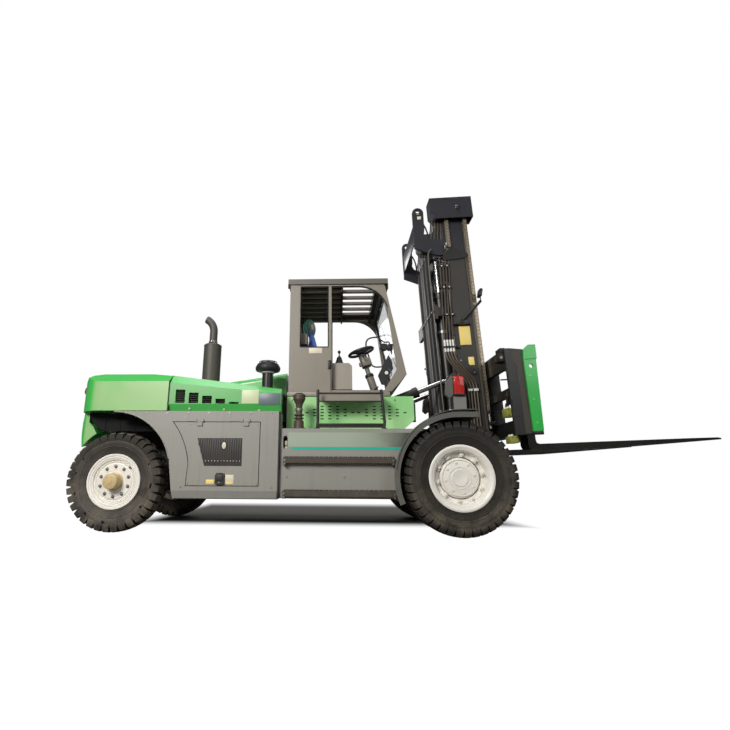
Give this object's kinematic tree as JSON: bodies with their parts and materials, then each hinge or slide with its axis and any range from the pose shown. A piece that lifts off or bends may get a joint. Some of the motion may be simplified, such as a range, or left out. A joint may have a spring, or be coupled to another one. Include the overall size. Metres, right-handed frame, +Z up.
{
  "type": "heavy forklift truck",
  "caption": "Heavy counterbalance forklift with a two-stage mast, shaft-hung forks, twin front wheels, steered rear wheels and an open cab.",
  "frame": {"origin": "on the ground, on the centre plane, under the middle of the overall length", "axes": "+X towards the forks, +Y to the driver's left, +Z up"},
  "size_m": [7.8461, 2.624, 4.6236],
  "materials": {
    "green_paint": "satin",
    "grey_paint": "satin",
    "taupe_paint": "satin",
    "black_paint": "satin",
    "dark_steel": "satin",
    "tyre_rubber": "matte",
    "silver_paint": "satin",
    "chrome_rod": "polished",
    "chain_steel": "oiled",
    "glass": "clear",
    "seat_vinyl": "matte",
    "black_plastic": "matte",
    "engine_iron": "cast"
  },
  "bodies": {
    "chassis": {"chassis_frame": "black_paint", "tail_frame": "black_paint", "counterweight": "green_paint", "engine_and_gearbox": "engine_iron", "drive_axle": "black_paint", "steer_axle": "black_paint", "side_box_right": "grey_paint", "side_box_left": "grey_paint", "step_bay_right": "grey_paint", "step_bay_left": "grey_paint", "steps": "black_paint", "front_fender_right": "grey_paint", "front_fender_left": "grey_paint", "hood_sides": "green_paint", "hood_deck": "green_paint", "exhaust_stack": "dark_steel", "precleaner": "dark_steel", "centre_panels": "green_paint", "cab_side_right": "taupe_paint", "cab_side_left": "taupe_paint", "cab_rear_wall": "taupe_paint", "cab_front_frame": "taupe_paint", "cab_floor": "taupe_paint", "cab_roof": "taupe_paint", "cab_glass": "glass", "seat_base": "black_paint", "seat_cushion": "seat_vinyl", "seat_back": "seat_vinyl", "steering_column": "taupe_paint", "control_console": "taupe_paint", "handrails": "black_paint", "oil_filler": "black_plastic"},
    "front_wheel_right": {"front_tyres_right": "tyre_rubber", "front_rims_right": "silver_paint"},
    "front_wheel_left": {"front_tyres_left": "tyre_rubber", "front_rims_left": "silver_paint"},
    "knuckle_right": {"steer_knuckle_right": "black_paint"},
    "knuckle_left": {"steer_knuckle_left": "black_paint"},
    "rear_wheel_right": {"rear_tyre_right": "tyre_rubber", "rear_rim_right": "silver_paint"},
    "rear_wheel_left": {"rear_tyre_left": "tyre_rubber", "rear_rim_left": "silver_paint"},
    "outer_mast": {"outer_mast": "black_paint", "lift_barrels": "black_paint"},
    "inner_mast": {"inner_mast": "black_paint", "lift_rods": "chrome_rod", "sheaves": "black_paint", "lift_chains": "chain_steel"},
    "carriage": {"carriage_frame": "black_paint", "carriage_end_plates": "green_paint"},
    "fork_right": {"fork_right": "black_paint"},
    "fork_left": {"fork_left": "black_paint"},
    "tilt_barrel_right": {"tilt_barrel_right": "black_paint"},
    "tilt_barrel_left": {"tilt_barrel_left": "black_paint"},
    "tilt_rod_right": {"tilt_rod_right": "chrome_rod"},
    "tilt_rod_left": {"tilt_rod_left": "chrome_rod"},
    "steering_wheel": {"steering_wheel": "black_plastic"},
    "access_door_right": {"access_door_right": "grey_paint"},
    "access_door_left": {"access_door_left": "grey_paint"},
    "engine_hood": {"engine_hood": "green_paint"}
  },
  "joints": [
    {"name": "front_wheel_right_spin", "type": "hinge", "parent": "chassis", "child": "front_wheel_right", "pos_m": [0.70511, -0.9675, 0.64], "axis": [0, 1, 0], "continuous": true},
    {"name": "steer_right", "type": "hinge", "parent": "chassis", "child": "knuckle_right", "pos_m": [-3.29489, -0.735, 0.576], "axis": [0, 0, 1], "range_deg": [-45, 45]},
    {"name": "rear_wheel_right_spin", "type": "hinge", "parent": "knuckle_right", "child": "rear_wheel_right", "pos_m": [-3.29489, -1.01, 0.576], "axis": [0, 1, 0], "continuous": true},
    {"name": "front_wheel_left_spin", "type": "hinge", "parent": "chassis", "child": "front_wheel_left", "pos_m": [0.70511, 0.9675, 0.64], "axis": [0, 1, 0], "continuous": true},
    {"name": "steer_left", "type": "hinge", "parent": "chassis", "child": "knuckle_left", "pos_m": [-3.29489, 0.735, 0.576], "axis": [0, 0, 1], "range_deg": [-45, 45]},
    {"name": "rear_wheel_left_spin", "type": "hinge", "parent": "knuckle_left", "child": "rear_wheel_left", "pos_m": [-3.29489, 1.01, 0.576], "axis": [0, 1, 0], "continuous": true},
    {"name": "mast_tilt", "type": "hinge", "parent": "chassis", "child": "outer_mast", "pos_m": [0.94011, 0, 0.56], "axis": [0, 1, 0], "range_deg": [-7.5, 8.5]},
    {"name": "inner_mast_lift", "type": "slide", "parent": "outer_mast", "child": "inner_mast", "axis": [-0.0436, 0, 0.999], "range_m": [-0.45, 1.05]},
    {"name": "carriage_lift", "type": "slide", "parent": "inner_mast", "child": "carriage", "axis": [-0.0436, 0, 0.999], "range_m": [-0.45, 1.05]},
    {"name": "fork_right_shift", "type": "slide", "parent": "carriage", "child": "fork_right", "axis": [0, 1, 0], "range_m": [-0.19, 0.31]},
    {"name": "tilt_barrel_right_swing", "type": "hinge", "parent": "chassis", "child": "tilt_barrel_right", "pos_m": [-0.09489, -0.562, 1.545], "axis": [0, -1, 0], "range_deg": [-6, 6]},
    {"name": "tilt_rod_right_stroke", "type": "slide", "parent": "tilt_barrel_right", "child": "tilt_rod_right", "axis": [0.9299, 0, 0.3679], "range_m": [-0.24, 0.22]},
    {"name": "fork_left_shift", "type": "slide", "parent": "carriage", "child": "fork_left", "axis": [0, 1, 0], "range_m": [-0.31, 0.19]},
    {"name": "tilt_barrel_left_swing", "type": "hinge", "parent": "chassis", "child": "tilt_barrel_left", "pos_m": [-0.09489, 0.562, 1.545], "axis": [0, -1, 0], "range_deg": [-6, 6]},
    {"name": "tilt_rod_left_stroke", "type": "slide", "parent": "tilt_barrel_left", "child": "tilt_rod_left", "axis": [0.9299, 0, 0.3679], "range_m": [-0.24, 0.22]},
    {"name": "steering_wheel_turn", "type": "hinge", "parent": "chassis", "child": "steering_wheel", "pos_m": [-0.31689, 0, 2.44], "axis": [-0.3058, 0, 0.9521], "continuous": true},
    {"name": "access_door_right_lift", "type": "hinge", "parent": "chassis", "child": "access_door_right", "pos_m": [-1.99989, -1.212, 1.27], "axis": [-1, 0, 0], "range_deg": [0, 85]},
    {"name": "access_door_left_lift", "type": "hinge", "parent": "chassis", "child": "access_door_left", "pos_m": [-1.99989, 1.212, 1.27], "axis": [1, 0, 0], "range_deg": [0, 85]},
    {"name": "engine_hood_lift", "type": "hinge", "parent": "chassis", "child": "engine_hood", "pos_m": [-2.31889, 0, 1.82537], "axis": [0, -1, 0], "range_deg": [0, 50]}
  ],
  "couplings": [
    {"joint": "steer_left", "follows": "steer_right", "ratio": 1},
    {"joint": "carriage_lift", "follows": "inner_mast_lift", "ratio": 1},
    {"joint": "tilt_barrel_right_swing", "follows": "mast_tilt", "ratio": -0.3855},
    {"joint": "tilt_rod_right_stroke", "follows": "mast_tilt", "m_per_rad": 1.2935},
    {"joint": "tilt_barrel_left_swing", "follows": "mast_tilt", "ratio": -0.3855},
    {"joint": "tilt_rod_left_stroke", "follows": "mast_tilt", "m_per_rad": 1.2935}
  ]
}
